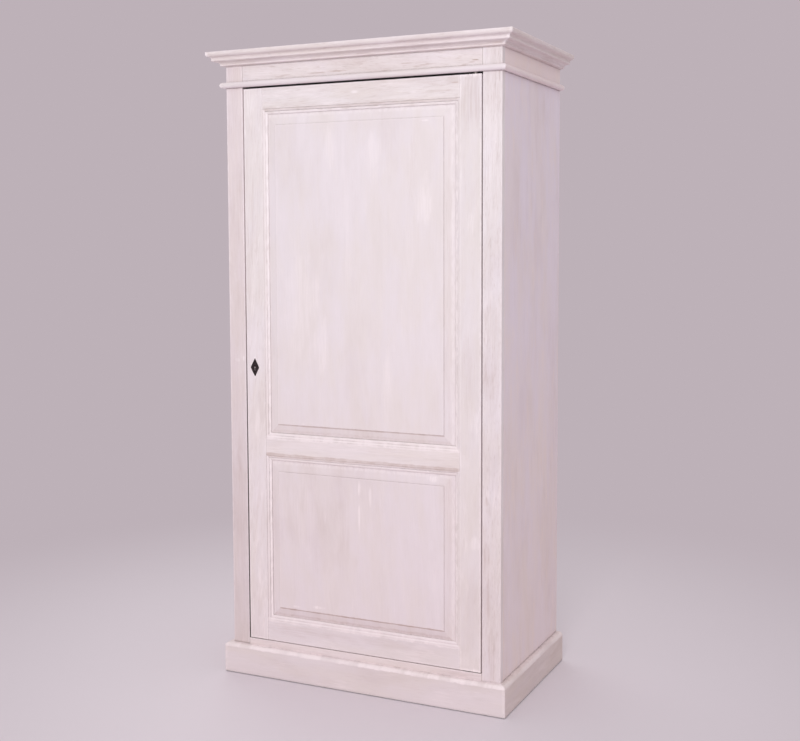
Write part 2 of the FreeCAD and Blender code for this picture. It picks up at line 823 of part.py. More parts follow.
def make_parts():
    cornice_side = crown_run_side(cornice_profile(), cornice_seat, cornice_projection)
    bead_side = crown_run_side(bead_profile(), 0, bead_projection)
    plinth_side = crown_run_side(plinth_profile(), 0, plinth_thickness)
    side_panel = right_side_panel()
    parts = {
        "left_side_panel": mirrored(side_panel),
        "right_side_panel": side_panel,
        "left_front_stile": left_front_stile(),
        "right_front_stile": right_front_stile(),
        "frieze_rail": frieze_rail(),
        "bottom_rail": bottom_rail(),
        "bottom_board": bottom_board(),
        "top_board": top_board(),
        "back_top_rail": back_rail(cornice_bottom - back_rail_height),
        "back_bottom_rail": back_rail(board_under_floor - back_rail_height),
        "shelf_cleats": shelf_cleats(),
        "bottom_runners": bottom_runners(),
        "corner_blocks": corner_blocks(),
        "cornice_blocks": cornice_blocks(),
        "cornice_front": crown_run_front(cornice_profile(), cornice_seat, cornice_projection),
        "cornice_left": mirrored(cornice_side),
        "cornice_right": cornice_side,
        "neck_bead_front": crown_run_front(bead_profile(), 0, bead_projection),
        "neck_bead_left": mirrored(bead_side),
        "neck_bead_right": bead_side,
        "plinth_front": crown_run_front(plinth_profile(), 0, plinth_thickness),
        "plinth_left": mirrored(plinth_side),
        "plinth_right": plinth_side,
        "upper_door_stop": upper_door_stop(),
        "lower_door_stop": lower_door_stop(),
        "lower_pivot_plate": lower_pivot_plate(),
        "upper_pivot_plate": upper_pivot_plate(),
        "pivot_washer": pivot_washer(),
        "lock_keeper": lock_keeper(),
        "keeper_screws": Part.makeCompound(keeper_screw_shapes()),
        "door_lock_stile": door_lock_stile(),
        "door_hinge_stile": door_hinge_stile(),
        "door_top_rail": door_top_rail(),
        "door_mid_rail": door_mid_rail(),
        "door_bottom_rail": door_bottom_rail(),
        "upper_panel": door_panel(upper_opening),
        "lower_panel": door_panel(lower_opening),
        "lower_pivot_socket": pivot_socket(door_bottom, 1),
        "upper_pivot_socket": pivot_socket(door_top, -1),
        "escutcheon": escutcheon(),
        "escutcheon_pins": escutcheon_pins(),
        "lock_plate": lock_plate(),
        "lock_case": lock_case(),
        "lock_spring": lock_spring(),
        "lock_screws": Part.makeCompound(lock_screw_shapes()),
        "lock_bolt": lock_bolt(),
    }
    for index in range(shelf_count):
        parts["shelf_%d" % (index + 1)] = shelf(index)
    for index in range(back_board_count):
        parts["back_board_%d" % (index + 1)] = back_board(index)
    return parts


os.makedirs("parts", exist_ok=True)
for name, shape in make_parts().items():
    shape.exportStep("parts/%s.step" % name)
    solids = shape.Solids
    print(name, len(solids), "valid" if shape.isValid() else "INVALID",
          round(sum(solid.Volume for solid in solids)))
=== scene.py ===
import math
import bmesh
import bpy
import numpy as np
from mathutils import Euler, Matrix, Vector


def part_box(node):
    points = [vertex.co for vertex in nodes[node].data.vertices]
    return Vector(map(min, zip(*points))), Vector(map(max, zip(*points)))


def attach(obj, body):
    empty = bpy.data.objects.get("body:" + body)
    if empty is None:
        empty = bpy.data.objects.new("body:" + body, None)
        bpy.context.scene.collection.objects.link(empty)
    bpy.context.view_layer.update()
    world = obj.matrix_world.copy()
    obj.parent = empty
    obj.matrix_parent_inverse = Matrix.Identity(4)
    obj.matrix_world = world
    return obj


# A limewashed one-door cupboard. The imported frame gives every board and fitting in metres, with X to
# the hinge side, Y to the back and Z up. This script gives them their finish and adds small fixings.

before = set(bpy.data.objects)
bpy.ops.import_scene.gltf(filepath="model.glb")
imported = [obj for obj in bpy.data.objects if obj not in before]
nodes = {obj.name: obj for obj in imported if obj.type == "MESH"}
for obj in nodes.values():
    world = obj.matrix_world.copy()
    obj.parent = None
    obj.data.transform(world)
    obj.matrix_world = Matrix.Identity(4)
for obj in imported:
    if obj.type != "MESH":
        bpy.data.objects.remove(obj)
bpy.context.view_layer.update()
print("frame loaded with", len(nodes), "nodes")


# Shader building blocks

def place(tree, kind, inputs=None, **settings):
    # a shader node with its settings, and each input linked or set
    node = tree.nodes.new(kind)
    for name, value in settings.items():
        setattr(node, name, value)
    for key, value in (inputs or {}).items():
        if isinstance(value, bpy.types.NodeSocket):
            tree.links.new(value, node.inputs[key])
        else:
            node.inputs[key].default_value = value
    return node


def calc(tree, operation, first, second=0.0, third=0.0, clamp=False):
    return place(tree, "ShaderNodeMath", {0: first, 1: second, 2: third}, operation=operation,
                 use_clamp=clamp).outputs[0]


def vectorCalc(tree, operation, first, second=(0.0, 0.0, 0.0), out=0):
    return place(tree, "ShaderNodeVectorMath", {0: first, 1: second},
                 operation=operation).outputs[out]


def vectorLength(tree, vector):
    return vectorCalc(tree, "LENGTH", vector, out="Value")


def split(tree, vector):
    return place(tree, "ShaderNodeSeparateXYZ", {0: vector}).outputs


def ramp(tree, value, low, high, bottom=0.0, top=1.0):
    # a soft step from bottom to top while value goes from low to high
    return place(tree, "ShaderNodeMapRange",
                 {"Value": value, "From Min": low, "From Max": high, "To Min": bottom, "To Max": top},
                 interpolation_type="SMOOTHSTEP").outputs[0]


def blend(tree, amount, under, over):
    return place(tree, "ShaderNodeMix", {0: amount, 6: under, 7: over}, data_type="RGBA").outputs[2]


# Every uneven pattern is a noise: how fast it changes along X, Y and Z, where Z is a board's length,
# then its scale, detail and roughness, and for some the soft step it goes through.
patterns = {
    "sway": ((0.6, 0.6, 0.1), 8.0, 1.0, 0.5),
    "ripple": ((1.0, 1.0, 0.07), 55.0, 3.0, 0.6),
    "ringPatches": ((1.0, 1.0, 0.16), 13.0, 2.0, 0.5, 0.45, 0.65),
    "pores": ((1.0, 1.0, 0.035), 460.0, 2.0, 0.6, 0.55, 0.72),
    "fineStreaks": ((1.0, 1.0, 0.028), 190.0, 3.0, 0.65),
    "broadStreaks": ((1.0, 1.0, 0.045), 75.0, 2.0, 0.5),
    "strokes": ((1.0, 1.0, 0.02), 120.0, 3.0, 0.6),
    "cloud": ((1.0, 1.0, 0.3), 11.0, 4.0, 0.6),
    "dryPatches": ((1.0, 1.0, 0.22), 27.0, 3.0, 0.6, 0.52, 0.68),
    "dryBristles": ((1.0, 1.0, 0.02), 380.0, 2.0, 0.6, 0.38, 0.62),
    "rubbedPatches": ((1.0, 1.0, 0.22), 21.0, 3.0, 0.6, 0.54, 0.72),
    "rubbedStreaks": ((1.0, 1.0, 0.03), 300.0, 2.0, 0.6, 0.35, 0.60, 0.25, 1.0),
    "chippedEdges": ((1.0, 1.0, 0.3), 120.0, 3.0, 0.6, 0.35, 0.6, 0.25, 1.0),
    "smearRim": ((1.0, 1.0, 0.3), 38.0, 4.0, 0.65),
    "smearBristles": ((1.0, 1.0, 0.04), 240.0, 3.0, 0.6, 0.36, 0.62, 0.3, 1.0),
    "runRim": ((0.5, 1.0, 1.0), 70.0, 4.0, 0.65),
    "runChunks": ((1.0, 0.2, 0.2), 26.0, 3.0, 0.6),
    "clearFigure": ((1.0, 1.0, 0.25), 5.0, 2.0, 0.5, 0.35, 0.7, 0.35, 1.0),
    "thinPaint": ((1.0, 1.0, 0.4), 7.0, 4.0, 0.6, 0.47, 0.72),
    "brokenHollows": ((1.0, 1.0, 0.3), 48.0, 3.0, 0.6, 0.34, 0.62, 0.6, 1.15),
    "metalBrushing": ((1.0, 1.0, 0.03), 1800.0, 2.0, 0.5),
    "metalBlotches": ((1.0, 1.0, 1.0), 260.0, 4.0, 0.6),
}


def pattern(tree, vector, name):
    speeds, scale, detail, roughness, *step = patterns[name]
    drawn = vectorCalc(tree, "MULTIPLY", vector, speeds)
    noise = place(tree, "ShaderNodeTexNoise", {"Vector": drawn, "Scale": scale, "Detail": detail,
                                               "Roughness": roughness}).outputs["Fac"]
    return ramp(tree, noise, *step) if step else noise


def placeGroup(tree, group, inputs):
    return place(tree, "ShaderNodeGroup", inputs, node_tree=group).outputs


def newGroup(name, inputs, outputs):
    # an empty group; inputs maps each label to its default, and outputs lists (label, kind)
    kinds = {float: "NodeSocketFloat", tuple: "NodeSocketColor", type(None): "NodeSocketVector"}
    group = bpy.data.node_groups.new(name, "ShaderNodeTree")
    for label, value in inputs.items():
        socket = group.interface.new_socket(label, in_out="INPUT", socket_type=kinds[type(value)])
        if value is not None:
            socket.default_value = value
    for label, kind in outputs:
        group.interface.new_socket(label, in_out="OUTPUT", socket_type="NodeSocket" + kind)
    given = group.nodes.new("NodeGroupInput").outputs
    result = group.nodes.new("NodeGroupOutput").inputs
    return group, given, result


grainMasks = ("Rings", "Pores", "Streaks", "Strokes", "Cloud", "Flecks", "Scuffs")
grainLook = {
    "sway": 0.06,        # metres the rings' centre wanders across
    "ripple": 0.022,     # metres the rings ripple
    "lateWood": 2.2,     # how suddenly a ring ends
    "streaks": (0.46, 0.68),
    "scuffsAt": (3.1, 1.7, 5.3),  # metres to another part of the pattern
}


def makeBoardGrain():
    # Masks for a board whose grain runs along Z: growth rings round a slanted heart that lies behind
    # the face, short pores, long streaks, brush strokes, slow cloudy changes of tone, flecks where a
    # dry brush left paint on the ridges, and scuffs where paint has rubbed off in streaks.
    group, given, result = newGroup(
        "boardGrain", {"Vector": None, "Ring Width": 0.009},
        [(label, "Float") for label in grainMasks])
    vector = given["Vector"]
    parts = split(group, vector)
    wander = calc(group, "MULTIPLY_ADD", pattern(group, vector, "sway"), grainLook["sway"],
                  -grainLook["sway"] / 2)
    flat = place(group, "ShaderNodeCombineXYZ", {0: calc(group, "ADD", parts[0], wander),
                                                 1: parts[1]}).outputs[0]
    ripple = calc(group, "MULTIPLY", pattern(group, vector, "ripple"), grainLook["ripple"])
    radius = calc(group, "ADD", vectorLength(group, flat), ripple)
    ring = calc(group, "FRACT", calc(group, "DIVIDE", radius, given["Ring Width"]))
    late = calc(group, "POWER", ring, grainLook["lateWood"])
    bothStreaks = calc(group, "ADD", pattern(group, vector, "fineStreaks"),
                       pattern(group, vector, "broadStreaks"))
    elsewhere = vectorCalc(group, "ADD", vector, grainLook["scuffsAt"])
    masks = {
        "Rings": calc(group, "MULTIPLY", late, pattern(group, vector, "ringPatches")),
        "Pores": pattern(group, vector, "pores"),
        "Streaks": ramp(group, calc(group, "MULTIPLY", bothStreaks, 0.5), *grainLook["streaks"]),
        "Strokes": pattern(group, vector, "strokes"),
        "Cloud": pattern(group, vector, "cloud"),
        "Flecks": calc(group, "MULTIPLY", pattern(group, vector, "dryPatches"),
                       pattern(group, vector, "dryBristles")),
        "Scuffs": calc(group, "MULTIPLY", pattern(group, elsewhere, "rubbedPatches"),
                       pattern(group, elsewhere, "rubbedStreaks")),
    }
    for label, mask in masks.items():
        group.links.new(mask, result[label])
    return group


# How open a spot's surroundings are where each mark begins, and where it is full
openness = {"Edge": (0.95, 0.55), "Hollow": (0.97, 0.45), "Deep": (0.5, 0.15)}
opennessSamples = 4


def makeEdgeMarks():
    # Edge is a board's own outward corners, broken up along their length, which take thick paint that
    # is partly a painted highlight. Hollow is every inward corner, where boards meet as well as inside
    # a moulding, darkened as dirt and painted shade, and Deep is the inside of a narrow gap, darkened
    # as painted shade.
    group, given, result = newGroup(
        "edgeMarks", {"Vector": None, "Width": 0.0075, "Depth": 0.0045, "Gap Depth": 0.020},
        [(label, "Float") for label in openness])
    for label, reach, settings in (("Edge", "Width", {"inside": True, "only_local": True}),
                                   ("Hollow", "Depth", {}), ("Deep", "Gap Depth", {})):
        space = place(group, "ShaderNodeAmbientOcclusion", {"Distance": given[reach]},
                      samples=opennessSamples, **settings).outputs["AO"]
        mark = ramp(group, space, *openness[label])
        if label == "Edge":
            mark = calc(group, "MULTIPLY", mark, pattern(group, given["Vector"], "chippedEdges"))
        group.links.new(mark, result[label])
    return group


# How ragged a mark's rim is, and where it ends and is full, counted in half sizes plus the rag
smearLook = {"ragged": 2.0, "rim": (2.2, 1.35)}


def makeSmear():
    # A brush mark along a board's grain, Centre and Size in metres on the board, made of streaks and
    # ragged round its edge.
    group, given, result = newGroup("brushSmear", {"Vector": None, "Centre": None, "Size": None,
                                                   "Strength": 1.0}, [("Mask", "Float")])
    vector = given["Vector"]
    offset = vectorCalc(group, "SUBTRACT", vector, given["Centre"])
    scaled = vectorCalc(group, "DIVIDE", offset, given["Size"])
    halves = vectorCalc(group, "MULTIPLY", scaled, (2.0, 0.0, 2.0))  # not through the thickness
    reach = vectorLength(group, halves)
    rag = calc(group, "MULTIPLY", pattern(group, vector, "smearRim"), smearLook["ragged"])
    body = calc(group, "MULTIPLY", ramp(group, calc(group, "ADD", reach, rag), *smearLook["rim"]),
                pattern(group, vector, "smearBristles"))
    group.links.new(calc(group, "MULTIPLY", body, given["Strength"]), result["Mask"])
    return group


# How ragged a run's rim is and where the rim's middle lies, counted the same way, the step for its
# chunks, and half the width in metres over which its mitred ends stop
runLook = {"ragged": 1.6, "rim": 1.7, "chunks": (0.36, 0.62), "mitre": 0.0015}


def makePaintRun():
    # A ragged level run, Height up the cupboard and Half Width to each side of it, in chunks that are
    # Chunky to 1 as strong, with mitred ends Half Length out at its middle.
    group, given, result = newGroup("paintRun", {
        "Vector": None, "Height": 1.0, "Half Width": 0.01, "Strength": 1.0, "Softness": 0.2,
        "Chunky": 0.45, "Half Length": 9.0}, [("Mask", "Float")])
    parts = split(group, given["Vector"])
    level = calc(group, "SUBTRACT", parts[2], given["Height"])
    out = calc(group, "ADD", calc(group, "ABSOLUTE", parts[0]), level)
    inside = ramp(group, calc(group, "SUBTRACT", out, given["Half Length"]), runLook["mitre"],
                  -runLook["mitre"])
    rag = calc(group, "MULTIPLY", pattern(group, given["Vector"], "runRim"), runLook["ragged"])
    ragged = calc(group, "ADD",
                  calc(group, "DIVIDE", calc(group, "ABSOLUTE", level), given["Half Width"]), rag)
    body = ramp(group, ragged, calc(group, "ADD", given["Softness"], runLook["rim"]),
                calc(group, "SUBTRACT", runLook["rim"], given["Softness"]))
    chunks = ramp(group, pattern(group, given["Vector"], "runChunks"), *runLook["chunks"],
                  given["Chunky"], 1.0)
    mask = calc(group, "MULTIPLY", calc(group, "MULTIPLY", body, chunks), inside)
    group.links.new(calc(group, "MULTIPLY", mask, given["Strength"]), result["Mask"])
    return group


def makeNailMarks():
    # Nail heads in rows across a board: how far a point is from the nearest row and from one of two
    # lines, Spread to each side of the board's middle.
    group, given, result = newGroup("nailMarks", {
        "Vector": None, "First": 0.1, "Half Pitch": 0.2, "Spread": 0.04, "Radius": 0.0025},
        [("Mask", "Float")])
    parts = split(group, given["Vector"])
    up = calc(group, "PINGPONG", calc(group, "SUBTRACT", parts[2], given["First"]),
              given["Half Pitch"])
    across = calc(group, "SUBTRACT", calc(group, "ABSOLUTE", parts[0]), given["Spread"])
    reach = vectorLength(group, place(group, "ShaderNodeCombineXYZ", {0: across, 1: up}).outputs[0])
    head = calc(group, "LESS_THAN", reach, given["Radius"])
    outer = calc(group, "GREATER_THAN", parts[1], 0.0)
    group.links.new(calc(group, "MULTIPLY", head, outer), result["Mask"])
    return group


coatLook = {
    "tones": (0.36, 0.64),   # the cloud's step from one paint to the other
    "streaks": 0.8,          # streaks next to rings
    "pores": 0.09,
    "smearCover": 0.8,       # how much of the thin paint a full smear covers
    "smearFill": 1.3,        # how soon a smear fills hollows and gaps
    "rough": {"paint": 0.56, "bare": 0.2, "gap": 0.4},
    "height": {"lines": -0.6, "pores": -0.5, "smear": 0.5},
}


def makeLimewash():
    # The finish over the wood: paint that changes slowly between two tones, thin where the grain
    # stands out and in patches, thick on smears and outward edges, where it is partly a painted
    # highlight, brown as dirt in joints and nail heads, as dirt and painted shade in hollows and as
    # painted shade along shade lines, near black as painted shade inside gaps, and darker towards the
    # foot as painted shade.
    white = (1.0, 1.0, 1.0, 1.0)
    group, given, result = newGroup("limewash", {
        "Vector": None, "Paint": (0.8, 0.7, 0.7, 1.0), "Cool Paint": (0.8, 0.7, 0.75, 1.0),
        "Wood": (0.5, 0.4, 0.4, 1.0), "Thick Paint": (0.9, 0.85, 0.86, 1.0),
        "Dirt And Shade": (0.3, 0.25, 0.23, 1.0), "Gap": (0.04, 0.03, 0.03, 1.0), "Rings": 0.0, "Pores": 0.0,
        "Streaks": 0.0, "Strokes": 0.5, "Cloud": 0.5, "Flecks": 0.0, "Scuffs": 0.0, "Edge": 0.0,
        "Hollow": 0.0, "Deep": 0.0, "Smear": 0.0, "Bare": 0.0, "Dark": 0.0, "Foot": 0.0,
        "Foot Tone": white, "Figure": 0.5, "Paintshine": 0.5, "Uneven": 0.2, "Patchy": 0.1, "Brushed": 0.6},
        [("Color", "Color"), ("Roughness", "Float"), ("Height", "Float")])
    coat = blend(group, ramp(group, given["Cloud"], *coatLook["tones"]), given["Paint"],
                 given["Cool Paint"])
    figure = calc(group, "MULTIPLY", given["Figure"], pattern(group, given["Vector"], "clearFigure"))
    streaks = calc(group, "MULTIPLY", given["Streaks"], coatLook["streaks"])
    lines = calc(group, "MAXIMUM", given["Rings"], streaks)
    grained = calc(group, "ADD", calc(group, "MULTIPLY", lines, figure),
                   calc(group, "MULTIPLY", given["Pores"], coatLook["pores"]))
    scraped = calc(group, "ADD", given["Bare"], given["Scuffs"])
    rubbed = calc(group, "MULTIPLY", pattern(group, given["Vector"], "thinPaint"), given["Patchy"])
    bare = calc(group, "ADD", grained, calc(group, "ADD", rubbed, scraped), clamp=True)
    covered = calc(group, "SUBTRACT", 1.0, calc(group, "MULTIPLY", given["Smear"],
                                                coatLook["smearCover"]))
    thin = blend(group, calc(group, "MULTIPLY", bare, covered), coat, given["Wood"])

    stroked = calc(group, "MULTIPLY", calc(group, "SUBTRACT", given["Strokes"], 0.5),
                   given["Brushed"])
    mottle = calc(group, "ADD", stroked, calc(group, "SUBTRACT", given["Cloud"], 0.5))
    shade = calc(group, "MULTIPLY_ADD", mottle, given["Uneven"], 1.0)
    uneven = place(group, "ShaderNodeVectorMath", {0: thin, "Scale": shade},
                   operation="SCALE").outputs[0]
    # outward edges and flecks take the thick paint; on the edges it is partly a painted highlight
    ridged = calc(group, "MAXIMUM", calc(group, "MULTIPLY", given["Edge"], given["Paintshine"]),
                  given["Flecks"])
    bright = blend(group, calc(group, "MAXIMUM", given["Smear"], ridged), uneven,
                   given["Thick Paint"])
    # painted shade: darker towards the foot
    footShaded = vectorCalc(group, "MULTIPLY", bright,
                       blend(group, given["Foot"], white, given["Foot Tone"]))

    # hollows take dirt and painted shade, and gaps near black painted shade, except where a smear
    # fills them
    filled = calc(group, "MULTIPLY_ADD", given["Smear"], -coatLook["smearFill"], 1.0, clamp=True)
    settledDirtAndShade = calc(group, "MULTIPLY", calc(group, "MULTIPLY", given["Hollow"], filled),
                   pattern(group, given["Vector"], "brokenHollows"))
    dirtiedAndShaded = blend(group, calc(group, "MAXIMUM", settledDirtAndShade, given["Dark"]), footShaded, given["Dirt And Shade"])
    colour = blend(group, calc(group, "MULTIPLY", given["Deep"], filled), dirtiedAndShaded, given["Gap"])
    group.links.new(colour, result["Color"])

    rough, height = coatLook["rough"], coatLook["height"]
    matt = calc(group, "MULTIPLY_ADD", bare, rough["bare"], rough["paint"])
    roughness = calc(group, "MULTIPLY_ADD", given["Deep"], rough["gap"], matt, clamp=True)
    group.links.new(roughness, result["Roughness"])
    relief = calc(group, "ADD", calc(group, "MULTIPLY", lines, height["lines"]),
                  calc(group, "MULTIPLY", given["Pores"], height["pores"]))
    raised = calc(group, "ADD", relief, calc(group, "MULTIPLY", given["Smear"], height["smear"]))
    group.links.new(calc(group, "SUBTRACT", raised, given["Dark"]), result["Height"])
    return group


def makeMetalMarks():
    # Masks for worn metal: fine brushing along Z, and soft blotches.
    group, given, result = newGroup("metalMarks", {"Vector": None},
                                    [("Brushing", "Float"), ("Blotches", "Float")])
    for label in ("Brushing", "Blotches"):
        group.links.new(pattern(group, given["Vector"], "metal" + label), result[label])
    return group


boardGrain = makeBoardGrain()
edgeMarks = makeEdgeMarks()
brushSmear = makeSmear()
paintRun = makePaintRun()
nailMarks = makeNailMarks()
limewash = makeLimewash()
metalMarks = makeMetalMarks()
print("shader groups built")


# Wood finish

woodLook = {
    "paint": (0.812, 0.738, 0.738),      # warm white
    "coolPaint": (0.785, 0.718, 0.745),  # white with a touch of lilac
    "wood": (0.479, 0.356, 0.319),       # brownish wood in the grain
    "thickPaint": (0.940, 0.865, 0.885),
    # brown for dirt in joints, nail heads and hollows, and for painted shade in hollows and along
    # shade lines
    "dirtAndShade": (0.340, 0.265, 0.235),
    "gap": (0.036, 0.027, 0.024),        # painted shade: the dark inside a narrow gap
    "tint": (1.0, 1.0, 1.0),
    "ringWidth": 0.009,
    "figure": 0.13,              # how clearly rings and streaks show
    "pores": 1.0,
    "paintshine": 0.55,                # bright paint on outward edges, partly a painted highlight
    "uneven": 0.22,              # how much the coat's tone changes
    "brushed": 0.6,              # how much of that is brush strokes
    "patchy": 0.16,
    "flecks": 0.30,
    "scuffs": 0.12,
    "hollow": 0.70,              # dirt and painted shade in inward corners
    "gapDark": (1.0, 1.0),       # how dark the painted shade in gaps beside the board is, low down and high up
    "gapHeights": (0.55, 1.35),  # metres above the floor where those two hold
    "heart": 0.07,               # metres behind the face to the rings' centre
    "lean": 3.0,                 # degrees between the rings' axis and the board
    "apart": 1.7,                # metres along the pattern from one board to the next
    "bump": 0.35,
    "bumpDepth": 0.0005,
    "specular": 0.35,
    # footTone and footReach paint the coat darker towards the foot, as shade
    "footTone": (0.975, 0.925, 0.920),
    "footReach": 1.75,           # metres above the floor
    "jointDark": 0.85,
    "jointAt": 0.0,              # metres from the board's middle to its shoulders, where it has them
}

# Each turn lays a board's length along Z and its face along -Y.
grainTurn = {"up": (0.0, 0.0, 0.0), "upSide": (0.0, 0.0, math.pi / 2),
             "across": (0.0, math.pi / 2, 0.0), "deep": (math.pi / 2, 0.0, math.pi / 2)}

# Nodes by the way their grain runs: up, up on a side, across the front, and from front to back
boards = {
    "up": ["left_front_stile", "right_front_stile", "door_lock_stile", "door_hinge_stile",
           "upper_panel", "lower_panel", "corner_blocks"],
    "upSide": ["left_side_panel", "right_side_panel"],
    "across": ["frieze_rail", "bottom_rail", "bottom_board", "top_board", "back_top_rail",
               "back_bottom_rail", "cornice_front", "neck_bead_front", "plinth_front",
               "door_top_rail", "door_mid_rail", "door_bottom_rail", "upper_door_stop",
               "lower_door_stop", "cornice_blocks"],
    "deep": ["cornice_left", "cornice_right", "neck_bead_left", "neck_bead_right", "plinth_left",
             "plinth_right", "shelf_cleats", "bottom_runners"],
}
boards["up"] += sorted(name for name in nodes if name.startswith("back_board_"))
boards["across"] += sorted(name for name in nodes
                           if name.startswith("shelf_") and name != "shelf_cleats")

innerLook = {"tint": (0.95, 0.92, 0.89), "figure": 0.30, "paintshine": 0.3}
innerBoards = ["corner_blocks", "bottom_board", "top_board", "upper_door_stop", "lower_door_stop",
               "cornice_blocks", "shelf_cleats", "bottom_runners"]
innerBoards += [name for name in nodes if name.startswith(("back_", "shelf_"))]

# Looks of the pieces that come as a left and a right one
pairLooks = {
    # the side panels' lilac cool paint and tint are painted light: lighter and more lilac than the
    # front, for how light falls on the sides
    "{}_side_panel": {"figure": 0.04, "brushed": 0.15, "pores": 0.3, "patchy": 0.12, "uneven": 0.2,
                      "coolPaint": (0.772, 0.710, 0.752), "tint": (1.045, 1.005, 1.05),
                      "thickPaint": (0.92, 0.755, 0.675), "footTone": (0.975, 0.925, 0.870)},
    "neck_bead_{}": {"hollow": 0.35, "tint": (1.11, 1.045, 1.035)},
    "plinth_{}": {"hollow": 0.6, "paintshine": 0.3, "tint": (0.89, 0.86, 0.83)},
    "cornice_{}": {"pores": 2.4, "figure": 0.25, "patchy": 0.3, "scuffs": 0.2,
                   "tint": (0.955, 0.905, 0.885)},
}

boardLooks = {
    "right_front_stile": {"figure": 0.31, "lean": 5.0, "pores": 2.8, "scuffs": 0.28, "flecks": 0.4,
                          "tint": (1.03, 1.045, 1.055), "footTone": (0.93, 0.87, 0.86),
                          "paintshine": 0.6, "hollow": 0.5, "gapDark": (0.0, 0.0)},
    "left_front_stile": {"figure": 0.2, "patchy": 0.24, "tint": (0.99, 0.96, 0.955), "scuffs": 0.2,
                         "paintshine": 0.9, "footTone": (0.88, 0.84, 0.84), "gapDark": (1.0, 0.0)},
    "upper_panel": {"figure": 0.05, "patchy": 0.09, "pores": 0.5, "brushed": 0.2, "flecks": 0.14,
                    "scuffs": 0.06, "bump": 0.12, "hollow": 0.50, "tint": (1.015, 1.02, 1.02)},
    "lower_panel": {"figure": 0.05, "patchy": 0.16, "pores": 0.5, "brushed": 0.2, "flecks": 0.14,
                    "scuffs": 0.07, "bump": 0.12, "hollow": 0.36, "tint": (1.0, 1.0, 1.01)},
    "door_lock_stile": {"figure": 0.24, "pores": 1.8, "flecks": 0.45, "hollow": 0.28, "paintshine": 0.8,
                        "thickPaint": (0.97, 0.90, 0.915), "tint": (1.045, 1.055, 1.05),
                        "gapDark": (1.0, 0.0)},
    "door_hinge_stile": {"figure": 0.07, "patchy": 0.13, "brushed": 0.3, "paintshine": 0.8, "hollow": 0.5,
                         "thickPaint": (1.0, 0.93, 0.945), "tint": (1.0, 1.01, 1.0),
                         "gapDark": (0.0, 0.0)},
    "frieze_rail": {"figure": 0.32, "lean": 6.0, "pores": 3.0, "scuffs": 0.2, "hollow": 0.35,
                    "jointAt": 0.416, "gapDark": (1.0, 3.5), "tint": (1.015, 1.015, 1.01)},
    "neck_bead_front": {"hollow": 0.4, "gapDark": (1.0, 3.5)},
    "door_top_rail": {"figure": 0.26, "pores": 3.2, "paintshine": 0.8, "flecks": 0.5, "scuffs": 0.22,
                      "jointAt": 0.343, "jointDark": 0.2, "gapDark": (1.0, 3.5),
                      "tint": (1.015, 1.02, 0.995)},
    "door_mid_rail": {"jointAt": 0.343, "jointDark": 0.2, "tint": (1.03, 1.035, 1.02)},
    "door_bottom_rail": {"figure": 0.06, "patchy": 0.12, "brushed": 0.3, "jointAt": 0.343,
                         "jointDark": 0.15, "tint": (1.0, 1.01, 1.015), "gapDark": (0.0, 0.0)},
    "bottom_rail": {"figure": 0.12, "patchy": 0.24, "jointAt": 0.416, "hollow": 0.08,
                    "gapDark": (0.0, 0.0), "tint": (1.01, 1.005, 1.0)},
    "plinth_front": {"figure": 0.05, "patchy": 0.13, "brushed": 0.25, "paintshine": 0.3, "hollow": 0.10,
                     "tint": (0.975, 0.98, 0.975)},
    "cornice_front": {"pores": 3.2, "figure": 0.2, "scuffs": 0.25, "flecks": 0.45, "paintshine": 0.8,
                      "tint": (0.985, 0.97, 0.945)},
    **{pair.format(side): look for pair, look in pairLooks.items() for side in ("left", "right")},
    **{name: innerLook for name in innerBoards},
    "upper_door_stop": {**innerLook, "gapDark": (1.0, 3.5)},
}

